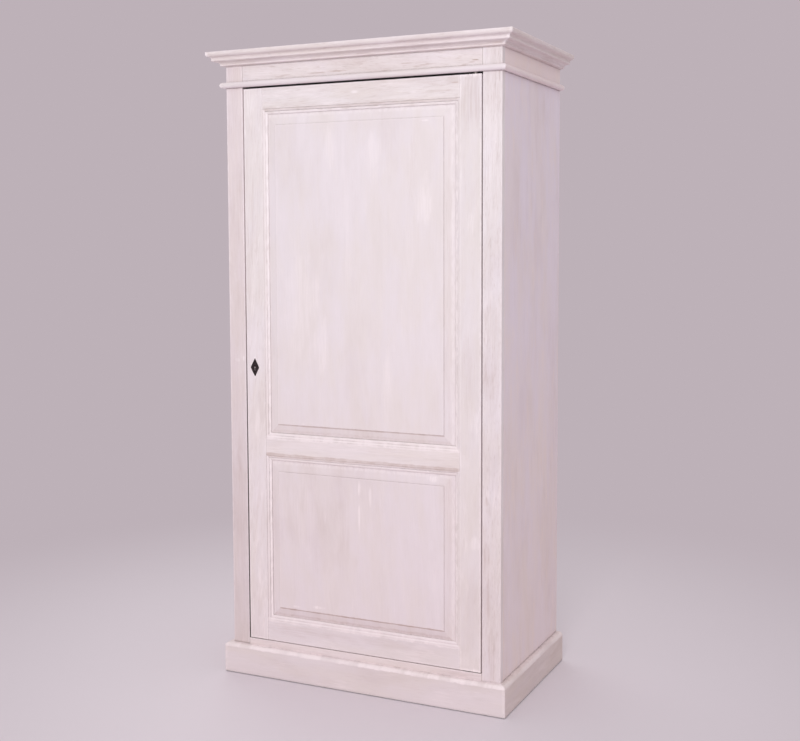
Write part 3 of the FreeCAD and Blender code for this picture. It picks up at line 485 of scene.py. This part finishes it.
# Brush marks: X (Y on the sides) and Z of the middle, width across the grain, length along it, and
# strength, which is below nought where the wood shows through instead of thick paint.
marks = {
    "upper_panel": [(-0.101, 1.728, 0.050, 0.15, 0.40), (0.052, 1.706, 0.052, 0.17, 0.40),
                    (0.227, 1.551, 0.060, 0.16, 0.5), (-0.155, 1.270, 0.036, 0.16, 0.36),
                    (-0.134, 1.106, 0.058, 0.17, 0.5), (0.096, 0.985, 0.038, 0.24, 0.40),
                    (-0.037, 1.403, 0.024, 0.26, 0.22), (-0.220, 1.240, 0.110, 0.42, 0.36),
                    (0.227, 1.803, 0.040, 0.008, 0.8), (-0.176, 1.841, 0.012, 0.012, 0.8),
                    (-0.205, 0.852, 0.020, 0.007, 0.6), (0.306, 1.300, 0.034, 1.50, -0.14)],
    "lower_panel": [(-0.002, 0.660, 0.012, 0.06, 0.8), (-0.003, 0.565, 0.008, 0.09, 0.8),
                    (0.036, 0.636, 0.012, 0.06, 0.6), (-0.129, 0.560, 0.012, 0.05, 0.4),
                    (0.250, 0.712, 0.050, 0.030, 0.7), (-0.060, 0.500, 0.050, 0.36, -0.10),
                    (-0.200, 0.560, 0.120, 0.28, 0.22), (-0.152, 0.254, 0.044, 0.011, 0.8),
                    (-0.235, 0.247, 0.030, 0.007, 0.6), (0.306, 0.480, 0.034, 0.80, -0.14)],
    "left_front_stile": [(-0.424, 1.058, 0.014, 0.030, 0.8), (-0.446, 1.052, 0.022, 0.014, 0.5),
                         (-0.446, 0.560, 0.060, 0.40, -0.14), (-0.446, 1.520, 0.070, 0.44, -0.09)],
    "right_front_stile": [(0.435, 0.680, 0.012, 0.030, 0.6), (0.430, 0.655, 0.012, 0.030, -0.4),
                          (0.430, 0.490, 0.022, 0.10, -0.35), (0.436, 0.340, 0.018, 0.20, -0.3),
                          (0.448, 0.220, 0.022, 0.24, -0.3), (0.445, 1.120, 0.070, 0.44, -0.13),
                          (0.458, 1.730, 0.008, 0.014, 0.8), (0.428, 1.150, 0.006, 0.05, 0.6),
                          (0.445, 1.760, 0.080, 0.36, 0.30)],
    "frieze_rail": [(0.319, 1.953, 0.005, 0.030, -0.6), (0.350, 1.957, 0.004, 0.028, -0.8),
                    (0.361, 1.961, 0.004, 0.030, -0.8), (0.379, 1.966, 0.004, 0.026, -0.8),
                    (0.392, 1.972, 0.004, 0.022, -0.8), (0.212, 1.966, 0.005, 0.050, -0.7),
                    (0.166, 1.976, 0.004, 0.060, -0.6), (0.239, 1.969, 0.004, 0.050, -0.6),
                    (0.170, 1.965, 0.050, 0.16, -0.12), (-0.278, 1.963, 0.005, 0.045, -0.6),
                    (-0.258, 1.967, 0.004, 0.040, -0.6), (-0.144, 1.967, 0.005, 0.060, -0.6),
                    (-0.061, 1.968, 0.005, 0.070, -0.6), (-0.330, 1.975, 0.040, 0.18, 0.35)],
    "door_lock_stile": [(-0.375, 0.850, 0.022, 0.12, 0.5), (-0.372, 0.330, 0.022, 0.10, 0.4),
                        (-0.409, 1.793, 0.008, 0.040, 0.9), (-0.325, 1.601, 0.008, 0.030, 0.9),
                        (-0.375, 0.200, 0.060, 0.20, -0.12)],
    "door_hinge_stile": [(0.378, 1.860, 0.090, 0.20, -0.24), (0.395, 0.520, 0.040, 0.050, 0.4),
                         (0.378, 1.030, 0.080, 0.26, -0.12)],
    "door_bottom_rail": [(-0.230, 0.165, 0.050, 0.26, -0.22), (0.080, 0.165, 0.040, 0.30, -0.12)],
    "door_top_rail": [(-0.010, 1.902, 0.016, 0.030, 0.8), (-0.180, 1.905, 0.030, 0.10, 0.5),
                      (0.120, 1.915, 0.016, 0.12, 0.5), (0.280, 1.888, 0.010, 0.10, -0.3),
                      (-0.284, 1.868, 0.007, 0.026, 0.9), (0.324, 1.910, 0.004, 0.030, -0.6)],
    "bottom_rail": [(0.350, 0.111, 0.040, 0.22, -0.22)],
    "plinth_front": [(0.347, 0.095, 0.008, 0.070, 1.0), (-0.289, 0.096, 0.006, 0.020, 1.0)],
    "right_side_panel": [(0.060, 1.300, 0.050, 0.80, -0.08), (0.250, 0.500, 0.160, 1.60, -0.10)],
    "cornice_front": [(0.200, 2.020, 0.050, 0.24, -0.16)],
}

# Level runs: height, half width, softness, how strong their faintest chunks are, and strength as
# above. The bright runs on the plinth and on the door's mid and bottom rails are thick paint and
# painted highlight where mouldings face up. The dark runs on the door's mid and top rails, and
# each panel's last run, are painted shade under down-facing mouldings and the field's step.
runs = {
    "plinth_front": [(0.0940, 0.0068, 0.2, 0.3, 0.85)],
    **{"plinth_" + side: [(0.0940, 0.0068, 0.2, 0.3, 0.55)] for side in ("left", "right")},
    **{side + "_side_panel": [(1.982, 0.034, 0.5, 0.85, 0.50)] for side in ("left", "right")},
    "door_mid_rail": [(0.806, 0.0112, 0.3, 0.5, 0.75), (0.7440, 0.0070, 0.3, 0.60, -0.50)],
    "door_bottom_rail": [(0.197, 0.0115, 0.3, 0.6, 0.7)],
    "door_top_rail": [(1.8595, 0.0095, 0.5, 0.6, -0.28)],
    "lower_panel": [(0.221, 0.018, 0.5, 0.6, -0.20), (0.209, 0.011, 0.5, 0.7, -0.48),
                    (0.2355, 0.0028, 0.5, 0.7, -0.85)],
    "upper_panel": [(0.830, 0.018, 0.5, 0.6, -0.12), (0.819, 0.011, 0.5, 0.7, -0.28),
                    (0.8455, 0.0028, 0.5, 0.7, -0.60)],
}

# The mitres of the panels' bevels: how far out they are from a panel's middle at its visible foot,
# and the height of that foot
mitreHalf = 0.323
sightFoot = {"lower_panel": 0.207, "upper_panel": 0.817}

# A painted shade line down a board: how far to the side, half width and strength
shadeLines = {"door_hinge_stile": (0.331, 0.008, 0.16), "upper_panel": (0.323, 0.006, 0.07),
              "lower_panel": (0.323, 0.006, 0.07)}
shadeCore = 0.4  # the share of its half width where it is full

# A rim of bright paint round the escutcheon, as shares of its half width and half height
haloLook = {"inner": 1.05, "outer": 1.34}

# Metres above the floor to the first row of nails, half the way from row to row, each line's distance
# from the board's middle as a share of its width, and the heads' radius
nailLook = {"first": 0.111, "halfPitch": 0.1817, "inset": 0.25, "radius": 0.0025}

jointWidth = 0.0026  # metres over which a joint darkens towards its shoulder
frontEdge = 0.001    # metres to each side of mid thickness over which marks on the front end


def haloMask(tree, where):
    # |x| / half width + |z| / half height is 1 along the lozenge's outline
    low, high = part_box("escutcheon")
    offset = vectorCalc(tree, "SUBTRACT", where, tuple((low + high) / 2))
    shares = vectorCalc(tree, "DIVIDE", offset, tuple((high - low) / 2))
    parts = split(tree, vectorCalc(tree, "ABSOLUTE", shares))
    outline = calc(tree, "ADD", parts[0], parts[2])
    return ramp(tree, outline, haloLook["outer"], haloLook["inner"])


def addMark(tree, mark, strength, thick, bare):
    # a mark joins the thick paint or the bare wood, whichever its strength says
    if strength > 0:
        return calc(tree, "MAXIMUM", mark, thick), bare
    return thick, calc(tree, "MAXIMUM", mark, bare)


def limedWood(name, grain, seed):
    # one board's material: centred on the board, turned to run along it, then leaned for its rings
    finish = {**woodLook, **boardLooks.get(name, {})}
    material = bpy.data.materials.new(name + "Finish")
    material.use_nodes = True
    tree = material.node_tree
    shader = tree.nodes["Principled BSDF"]
    where = place(tree, "ShaderNodeTexCoord").outputs["Object"]
    low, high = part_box(name)
    turn = Euler(grainTurn[grain], "XYZ")
    middle = turn.to_matrix() @ ((low + high) / 2)
    board = place(tree, "ShaderNodeMapping", {"Vector": where, "Rotation": turn,
                                              "Location": -middle}).outputs[0]
    lean = math.radians(finish["lean"])
    shift = (finish["heart"] * math.sin(seed), finish["heart"], seed * finish["apart"])
    leaned = place(tree, "ShaderNodeMapping", {
        "Vector": board, "Location": shift, "Rotation": (lean, lean * math.cos(seed), 0.0)}).outputs[0]
    masks = placeGroup(tree, boardGrain, {"Vector": leaned, "Ring Width": finish["ringWidth"]})
    edges = placeGroup(tree, edgeMarks, {"Vector": leaned})

    # marks and runs stay on the front half of the boards that face the front, but go over the plinth
    thick, bare = 0.0, 0.0
    sideways = grain in ("upSide", "deep")
    inFront = 1.0
    if not sideways and name != "plinth_front":
        inFront = ramp(tree, split(tree, board)[1], frontEdge, -frontEdge)
    for along, z, width, length, strength in marks.get(name, []):
        spot = (0.0, along, z) if sideways else (along, 0.0, z)
        mark = placeGroup(tree, brushSmear, {
            "Vector": board, "Centre": turn.to_matrix() @ Vector(spot) - middle,
            "Size": (width, 1.0, length), "Strength": abs(strength)})["Mask"]
        thick, bare = addMark(tree, calc(tree, "MULTIPLY", mark, inFront), strength, thick, bare)
    for height, halfWidth, softness, chunky, strength in runs.get(name, []):
        mitre = {}
        if name in sightFoot:
            mitre = {"Half Length": mitreHalf + sightFoot[name] - height,
                     "Vector": vectorCalc(tree, "SUBTRACT", where, (middle.x, 0.0, 0.0))}
        mark = placeGroup(tree, paintRun, {
            "Vector": where, "Height": height, "Half Width": halfWidth, "Softness": softness,
            "Chunky": chunky, "Strength": abs(strength), **mitre})["Mask"]
        thick, bare = addMark(tree, calc(tree, "MULTIPLY", mark, inFront), strength, thick, bare)
    if name == "door_lock_stile":
        halo = calc(tree, "MULTIPLY", haloMask(tree, where), inFront)
        thick, bare = addMark(tree, halo, 1.0, thick, bare)

    # shoulders, painted shade lines and nail heads
    dark = 0.0
    if finish["jointAt"]:
        along = calc(tree, "ABSOLUTE", split(tree, board)[2])
        dark = calc(tree, "MULTIPLY", ramp(tree, along, finish["jointAt"] - jointWidth,
                                           finish["jointAt"]), finish["jointDark"])
    if name in shadeLines:
        at, half, strength = shadeLines[name]
        away = calc(tree, "ABSOLUTE", calc(tree, "SUBTRACT", split(tree, where)[0], at))
        dark = calc(tree, "MULTIPLY", ramp(tree, away, half, half * shadeCore),
                    calc(tree, "MULTIPLY", inFront, strength))
    if name.startswith("back_board_"):
        first = nailLook["first"] - middle.z
        dark = placeGroup(tree, nailMarks, {
            "Vector": board, "First": first, "Half Pitch": nailLook["halfPitch"],
            "Spread": nailLook["inset"] * (high.x - low.x), "Radius": nailLook["radius"]})["Mask"]

    def colour(key):
        return tuple(part * tint for part, tint in zip(finish[key], finish["tint"])) + (1.0,)

    # gaps are painted as dark as gapDark says, as shade, and where they are light their hollows are
    # clean of dirt and painted shade as well
    up = split(tree, where)[2]
    # painted shade: darker towards the foot, up to footReach
    foot = ramp(tree, up, finish["footReach"], 0.0)
    gapDark = ramp(tree, up, *finish["gapHeights"], *finish["gapDark"])
    deep = calc(tree, "MULTIPLY", edges["Deep"], gapDark, clamp=True)
    lightGap = calc(tree, "SUBTRACT", edges["Deep"], deep, clamp=True)
    hollow = calc(tree, "MULTIPLY", calc(tree, "SUBTRACT", edges["Hollow"], lightGap, clamp=True),
                  finish["hollow"])
    coat = placeGroup(tree, limewash, {
        "Vector": leaned, "Paint": colour("paint"), "Cool Paint": colour("coolPaint"),
        "Wood": colour("wood"), "Dirt And Shade": colour("dirtAndShade"), "Thick Paint": finish["thickPaint"] + (1.0,),
        "Gap": finish["gap"] + (1.0,), "Foot Tone": finish["footTone"] + (1.0,), "Foot": foot,
        "Smear": thick, "Bare": bare, "Dark": dark,
        **{label: finish[label.lower()]
           for label in ("Figure", "Paintshine", "Uneven", "Patchy", "Brushed")},
        **{label: masks[label] for label in ("Rings", "Streaks", "Strokes", "Cloud")},
        **{label: calc(tree, "MULTIPLY", masks[label], finish[label.lower()])
           for label in ("Pores", "Flecks", "Scuffs")},
        "Edge": edges["Edge"], "Hollow": hollow, "Deep": deep})
    bump = place(tree, "ShaderNodeBump", {"Strength": finish["bump"], "Distance": finish["bumpDepth"],
                                          "Height": coat["Height"]})
    tree.links.new(coat["Color"], shader.inputs["Base Color"])
    tree.links.new(coat["Roughness"], shader.inputs["Roughness"])
    tree.links.new(bump.outputs[0], shader.inputs["Normal"])
    shader.inputs["Specular IOR Level"].default_value = finish["specular"]
    return material


def dress(node, material):
    node.data.materials.clear()
    node.data.materials.append(material)


seed = 0
for grain, names in boards.items():
    for name in names:
        seed += 1
        dress(nodes[name], limedWood(name, grain, seed))
print("wood finished on", seed, "nodes")


# Metal finishes

steelLook = {"bright": (0.40, 0.38, 0.36, 1.0), "dull": (0.20, 0.18, 0.16, 1.0), "rough": (0.28, 0.5)}
ironLook = {"bright": (0.048, 0.034, 0.036, 1.0), "dull": (0.012, 0.008, 0.009, 1.0),
            "rough": (0.35, 0.6)}
metalLook = {"blotches": (0.42, 0.68), "brushing": (0.3, 0.7), "bump": 0.3, "bumpDepth": 0.0001}


def wornMetal(name, look, metallic):
    material = bpy.data.materials.new(name)
    material.use_nodes = True
    tree = material.node_tree
    shader = tree.nodes["Principled BSDF"]
    where = place(tree, "ShaderNodeTexCoord").outputs["Object"]
    worn = placeGroup(tree, metalMarks, {"Vector": where})
    blotch = ramp(tree, worn["Blotches"], *metalLook["blotches"])
    tree.links.new(blend(tree, blotch, look["bright"], look["dull"]), shader.inputs["Base Color"])
    rough = ramp(tree, worn["Brushing"], *metalLook["brushing"], *look["rough"])
    tree.links.new(rough, shader.inputs["Roughness"])
    bump = place(tree, "ShaderNodeBump", {"Strength": metalLook["bump"],
                                          "Distance": metalLook["bumpDepth"],
                                          "Height": worn["Blotches"]})
    tree.links.new(bump.outputs[0], shader.inputs["Normal"])
    shader.inputs["Metallic"].default_value = metallic
    return material


steel = wornMetal("dulledSteel", steelLook, 1.0)
iron = wornMetal("blackenedIron", ironLook, 0.6)
for name in ("lower_pivot_plate", "upper_pivot_plate", "pivot_washer", "lock_keeper", "keeper_screws",
             "lower_pivot_socket", "upper_pivot_socket", "lock_plate", "lock_case", "lock_spring",
             "lock_screws", "lock_bolt"):
    dress(nodes[name], steel)
for name in ("escutcheon", "escutcheon_pins"):
    dress(nodes[name], iron)
print("metal finished")


# Slotted screw heads as surfaces on a grid

screwLook = {
    "radius": 0.0035, "rise": 0.0008, "slotWidth": 0.0010, "slotDepth": 0.0006,
    "under": 0.0005,            # how deep the head's rim goes into its board
    "rows": (1.0, 0.85, 0.55),  # shares of the radius, from the rim to the slot
    "columns": (7, 3),          # points over the top and back underneath
    "sharpAngle": 35,           # degrees
    "seed": 11,
}
mergeDistance = 1e-6


def slottedHead():
    # A low dome with a straight slot. Rows are lines across the slot at y, and columns go over the
    # top and back underneath: x = s sqrt(R^2 - y^2), with s from -1 to 1, and height = rise (1 - s^2)
    # (1 - y^2 / R^2), which inside the slot is at most rise - depth.
    radius = screwLook["radius"]
    half = screwLook["slotWidth"] / 2
    side = np.array([share * radius for share in screwLook["rows"]] + [half, half])
    y = np.concatenate((-side, side[::-1]))[:, None]
    row = np.arange(len(y))[:, None]
    inSlot = (row == len(side) - 1) | (row == len(side))
    overCount, backCount = screwLook["columns"]
    over = np.linspace(-1.0, 1.0, overCount)[None]
    back = np.linspace(1.0, -1.0, backCount)[None]
    chord = np.sqrt(np.maximum(radius ** 2 - y ** 2, 0.0))
    dome = screwLook["rise"] * (1 - over ** 2) * (1 - (y / radius) ** 2)
    top = np.where(inSlot, np.minimum(dome, screwLook["rise"] - screwLook["slotDepth"]), dome)
    height = np.concatenate((top, -screwLook["under"] + 0 * (y + back)), axis=1)
    x = np.concatenate((chord * over, chord * back), axis=1)
    return np.stack((x, y + 0 * x, height), axis=-1)


def stand(points, places, outward):
    # copies of a shape that stands on Z = 0, each turned about its own Z, then laid along outward
    angles = np.random.default_rng(screwLook["seed"]).uniform(0.0, math.pi, len(places))
    spin = np.zeros((len(places), 3, 3))
    spin[:, 0, 0] = spin[:, 1, 1] = np.cos(angles)
    spin[:, 1, 0] = np.sin(angles)
    spin[:, 0, 1] = -np.sin(angles)
    spin[:, 2, 2] = 1.0
    lay = np.array(Vector(outward).to_track_quat("Z", "Y").to_matrix())
    return np.einsum("ij,njk,rck->nrci", lay, spin, points) + np.asarray(places)[:, None, None, :]


def surfacePiece(name, points, body):
    # one piece from points[copy, row, column], a grid per copy that closes on itself along its
    # columns; equal points at its ends are merged into poles
    copies, rows, columns, _ = points.shape
    index = np.arange(copies * rows * columns).reshape(copies, rows, columns)
    index = np.concatenate((index, index[:, :, :1]), axis=2)
    quads = np.stack((index[:, :-1, :-1], index[:, 1:, :-1], index[:, 1:, 1:], index[:, :-1, 1:]),
                     axis=-1)
    mesh = bpy.data.meshes.new(name)
    mesh.from_pydata(points.reshape(-1, 3), [], quads.reshape(-1, 4))
    work = bmesh.new()
    work.from_mesh(mesh)
    bmesh.ops.remove_doubles(work, verts=work.verts, dist=mergeDistance)
    bmesh.ops.dissolve_degenerate(work, dist=mergeDistance / 10, edges=work.edges)
    bmesh.ops.recalc_face_normals(work, faces=work.faces)
    work.to_mesh(mesh)
    work.free()
    mesh.shade_smooth()
    mesh.set_sharp_from_angle(angle=math.radians(screwLook["sharpAngle"]))
    piece = bpy.data.objects.new(name, mesh)
    bpy.context.scene.collection.objects.link(piece)
    dress(piece, steel)
    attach(piece, body)


def screwPlaces(node, radius, back):
    # the heads' centres from the box of a node that holds two or four screws, rounded so that those
    # that coincide count once
    low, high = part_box(node)
    spots = {(round(x, 5), back, round(z, 5)) for x in (low.x + radius, high.x - radius)
             for z in (low.z + radius, high.z - radius)}
    return sorted(spots)


# The pivot plates on each body, with 1 where the free face looks up and -1 where it looks down
pivotScrews = {"x": (0.360, 0.375), "carcass": {"lower_pivot_plate": 1, "upper_pivot_plate": -1},
               "door": {"lower_pivot_socket": -1, "upper_pivot_socket": 1}}
pivotPlateThickness = 0.003
plateScrews = {"lock_screws": 0.0037, "keeper_screws": 0.0032}  # each with its heads' radius
cleatScrews = {"fromFront": 0.07, "fromBack": 0.07, "underShelf": 0.010}
cleatThickness = 0.020


def plateFace(plate, up):
    # a carcass plate's pin stands beyond its free face, which is measured from the plate's back
    low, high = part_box(plate)
    if plate.endswith("_plate"):
        return low.z + pivotPlateThickness if up > 0 else high.z - pivotPlateThickness
    return high.z if up > 0 else low.z


def addScrews():
    head = slottedHead()
    for body in ("carcass", "door"):
        heads = []
        for plate, up in pivotScrews[body].items():
            low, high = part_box(plate)
            middle = (low.y + high.y) / 2
            z = plateFace(plate, up)
            heads.append(stand(head, [(x, middle, z) for x in pivotScrews["x"]], (0, 0, up)))
        surfacePiece(body + "_pivot_screws", np.concatenate(heads), body)
    for node, radius in plateScrews.items():
        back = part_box(node)[1].y
        body = "door" if node == "lock_screws" else "carcass"
        surfacePiece(node.replace("_screws", "_screw_heads"),
                     stand(head, screwPlaces(node, radius, back), (0, 1, 0)), body)
    low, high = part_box("shelf_cleats")
    shelfBoxes = [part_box(name) for name in boards["across"] if name.startswith("shelf_")]
    heights = [corners[0].z - cleatScrews["underShelf"] for corners in shelfBoxes]
    heads = []
    for side in (-1, 1):
        face = side * (high.x - cleatThickness)
        spots = [(face, y, z) for z in heights
                 for y in (low.y + cleatScrews["fromFront"], high.y - cleatScrews["fromBack"])]
        heads.append(stand(head, spots, (-side, 0, 0)))
    surfacePiece("cleat_screws", np.concatenate(heads), "carcass")


addScrews()
print("screws made")


# Floor, light and camera

stageLook = {"floor": (0.750, 0.680, 0.728, 1.0), "backdrop": (0.510, 0.440, 0.480, 1.0),
             "rough": 0.7, "size": 40.0, "fade": (0.5, 2.6)}  # size and fade in metres


def makeFloor():
    # pale round the cupboard, and farther out seen by the camera as the plain backdrop
    half = stageLook["size"] / 2
    corners = np.array([(-half, -half, 0), (half, -half, 0), (half, half, 0), (-half, half, 0)])
    mesh = bpy.data.meshes.new("studioFloor")
    mesh.from_pydata(corners, [], [(0, 1, 2, 3)])
    floor = bpy.data.objects.new("studioFloor", mesh)
    bpy.context.scene.collection.objects.link(floor)
    material = bpy.data.materials.new("paleFloor")
    material.use_nodes = True
    tree = material.node_tree
    shader = tree.nodes["Principled BSDF"]
    shader.inputs["Base Color"].default_value = stageLook["floor"]
    shader.inputs["Roughness"].default_value = stageLook["rough"]
    where = place(tree, "ShaderNodeTexCoord").outputs["Object"]
    far = ramp(tree, vectorLength(tree, where), *stageLook["fade"])
    seen = place(tree, "ShaderNodeLightPath").outputs["Is Camera Ray"]
    glow = place(tree, "ShaderNodeEmission", {"Color": stageLook["backdrop"]}).outputs[0]
    mixed = place(tree, "ShaderNodeMixShader", {0: calc(tree, "MULTIPLY", far, seen),
                                                1: shader.outputs[0], 2: glow}).outputs[0]
    tree.links.new(mixed, tree.nodes["Material Output"].inputs["Surface"])
    dress(floor, material)


worldLook = {"light": (1.0, 0.985, 1.0, 1.0), "strength": 0.655}


def makeWorld():
    # even light all round, seen by the camera and in gloss as the plain backdrop
    world = bpy.data.worlds.new("studio")
    bpy.context.scene.world = world
    world.use_nodes = True
    tree = world.node_tree
    path = place(tree, "ShaderNodeLightPath").outputs
    seen = calc(tree, "MAXIMUM", path["Is Camera Ray"], path["Is Glossy Ray"])
    seen = calc(tree, "MAXIMUM", seen, path["Is Transmission Ray"])
    lit = place(tree, "ShaderNodeBackground", {"Color": worldLook["light"],
                                               "Strength": worldLook["strength"]}).outputs[0]
    plain = place(tree, "ShaderNodeBackground", {"Color": stageLook["backdrop"]}).outputs[0]
    mixed = place(tree, "ShaderNodeMixShader", {0: seen, 1: lit, 2: plain}).outputs[0]
    tree.links.new(mixed, tree.nodes["World Output"].inputs["Surface"])


lamps = {
    "keyLamp": {"place": (1.9, -6.0, 3.5), "target": (0.0, -0.25, 1.2), "size": 2.2, "watts": 172.0},
    "rearLamp": {"place": (-3.5, 3.8, 3.0), "target": (0.0, 0.0, 1.0), "size": 4.0, "watts": 50.0},
}


def makeLamps():
    for name, look in lamps.items():
        lamp = bpy.data.lights.new(name, "AREA")
        lamp.shape = "SQUARE"
        lamp.size = look["size"]
        lamp.energy = look["watts"]
        item = bpy.data.objects.new(name, lamp)
        item.location = look["place"]
        direction = Vector(look["target"]) - Vector(look["place"])
        item.rotation_euler = direction.to_track_quat("-Z", "Y").to_euler()
        bpy.context.scene.collection.objects.link(item)


cameraLook = {
    "place": (1.72281, -3.60972, 1.43536),
    "yaw": 25.179,      # degrees to the left of the cupboard's own front-to-back line
    "pitch": 4.537,     # degrees down
    "roll": -0.206,
    "lens": 54.298,     # millimetres, as the sensor's width
    "sensor": 36.0,
    "shiftUp": -0.04,   # share of the picture's width
}


def makeCamera():
    data = bpy.data.cameras.new("camera")
    data.lens = cameraLook["lens"]
    data.sensor_width = cameraLook["sensor"]
    data.shift_y = cameraLook["shiftUp"]
    camera = bpy.data.objects.new("camera", data)
    bpy.context.scene.collection.objects.link(camera)
    turn = (Matrix.Rotation(math.radians(cameraLook["yaw"]), 4, "Z")
            @ Matrix.Rotation(math.radians(90 - cameraLook["pitch"]), 4, "X")
            @ Matrix.Rotation(math.radians(cameraLook["roll"]), 4, "Z"))
    camera.matrix_world = Matrix.Translation(cameraLook["place"]) @ turn
    bpy.context.scene.camera = camera


makeFloor()
makeWorld()
makeLamps()
makeCamera()
bpy.context.scene.view_settings.view_transform = "Standard"
print("stage, light and camera set")
